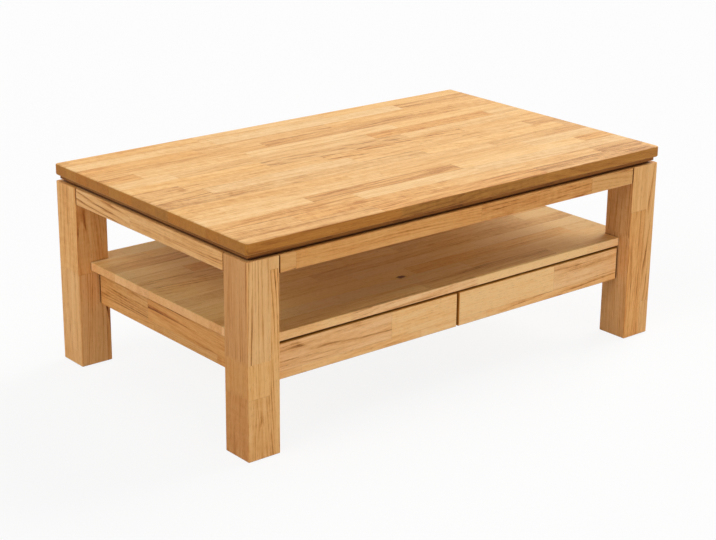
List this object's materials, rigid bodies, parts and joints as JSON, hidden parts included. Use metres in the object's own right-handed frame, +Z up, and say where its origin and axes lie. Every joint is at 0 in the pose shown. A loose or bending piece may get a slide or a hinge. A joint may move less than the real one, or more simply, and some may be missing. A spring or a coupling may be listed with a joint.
{
  "type": "coffee table",
  "caption": "Low rectangular solid-wood table on square posts, with a slab top over a shadow gap, an open shelf and handle-less drawers under the shelf.",
  "frame": {"origin": "on the floor, under the centre of the table top", "axes": "+X along the length of the table, -Y to the front, where the drawers open, +Z up"},
  "size_m": [1.15, 0.7, 0.45],
  "materials": {
    "oak": "oiled oak, satin",
    "dark_oak": "dark stained, matt",
    "drawer_oak": "oiled, satin",
    "beech": "raw, planed",
    "plywood": "sanded, clear lacquer",
    "zinc_steel": "zinc plated",
    "screw_steel": "zinc plated",
    "ball_steel": "polished",
    "cage_plastic": "matt",
    "clear_rubber": "soft, translucent",
    "felt": "pressed felt"
  },
  "bodies": {
    "table": {"back_panel": "oak", "block_screws": "screw_steel", "centre_partition": "oak", "channel_screws": "screw_steel", "drawer_bumpers": "clear_rubber", "end_panel_left": "oak", "end_panel_right": "oak", "fixing_blocks": "beech", "floor_glides": "felt", "leg_back_left": "oak", "leg_back_right": "oak", "leg_front_left": "oak", "leg_front_right": "oak", "panel_tenons": "beech", "rail_back": "oak", "rail_front": "oak", "rail_left": "oak", "rail_right": "oak", "rail_tenons": "beech", "runner_channel_left_inner": "zinc_steel", "runner_channel_left_outer": "zinc_steel", "runner_channel_right_inner": "zinc_steel", "runner_channel_right_outer": "zinc_steel", "shelf": "oak", "shelf_dowels": "beech", "spacer_back": "dark_oak", "spacer_front": "dark_oak", "spacer_left": "dark_oak", "spacer_right": "dark_oak", "table_top": "oak", "top_screws": "screw_steel"},
    "drawer_left": {"drawer_left_back": "drawer_oak", "drawer_left_bottom": "plywood", "drawer_left_front": "oak", "drawer_left_inner_side": "drawer_oak", "drawer_left_outer_side": "drawer_oak", "runner_slide_left_inner": "zinc_steel", "runner_slide_left_outer": "zinc_steel", "slide_screws_left": "screw_steel"},
    "drawer_right": {"drawer_right_back": "drawer_oak", "drawer_right_bottom": "plywood", "drawer_right_front": "oak", "drawer_right_inner_side": "drawer_oak", "drawer_right_outer_side": "drawer_oak", "runner_slide_right_inner": "zinc_steel", "runner_slide_right_outer": "zinc_steel", "slide_screws_right": "screw_steel"},
    "cages_left": {"ball_cage_left_inner": "cage_plastic", "ball_cage_left_outer": "cage_plastic", "balls_left": "ball_steel"},
    "cages_right": {"ball_cage_right_inner": "cage_plastic", "ball_cage_right_outer": "cage_plastic", "balls_right": "ball_steel"}
  },
  "joints": [
    {"name": "drawer_left_slide", "type": "slide", "parent": "table", "child": "drawer_left", "axis": [0, -1, 0], "range_m": [0, 0.375]},
    {"name": "cages_left_roll", "type": "slide", "parent": "table", "child": "cages_left", "axis": [0, -1, 0], "range_m": [0, 0.1875]},
    {"name": "drawer_right_slide", "type": "slide", "parent": "table", "child": "drawer_right", "axis": [0, -1, 0], "range_m": [0, 0.375]},
    {"name": "cages_right_roll", "type": "slide", "parent": "table", "child": "cages_right", "axis": [0, -1, 0], "range_m": [0, 0.1875]}
  ],
  "couplings": [
    {"joint": "cages_left_roll", "follows": "drawer_left_slide", "ratio": 0.5},
    {"joint": "cages_right_roll", "follows": "drawer_right_slide", "ratio": 0.5}
  ]
}
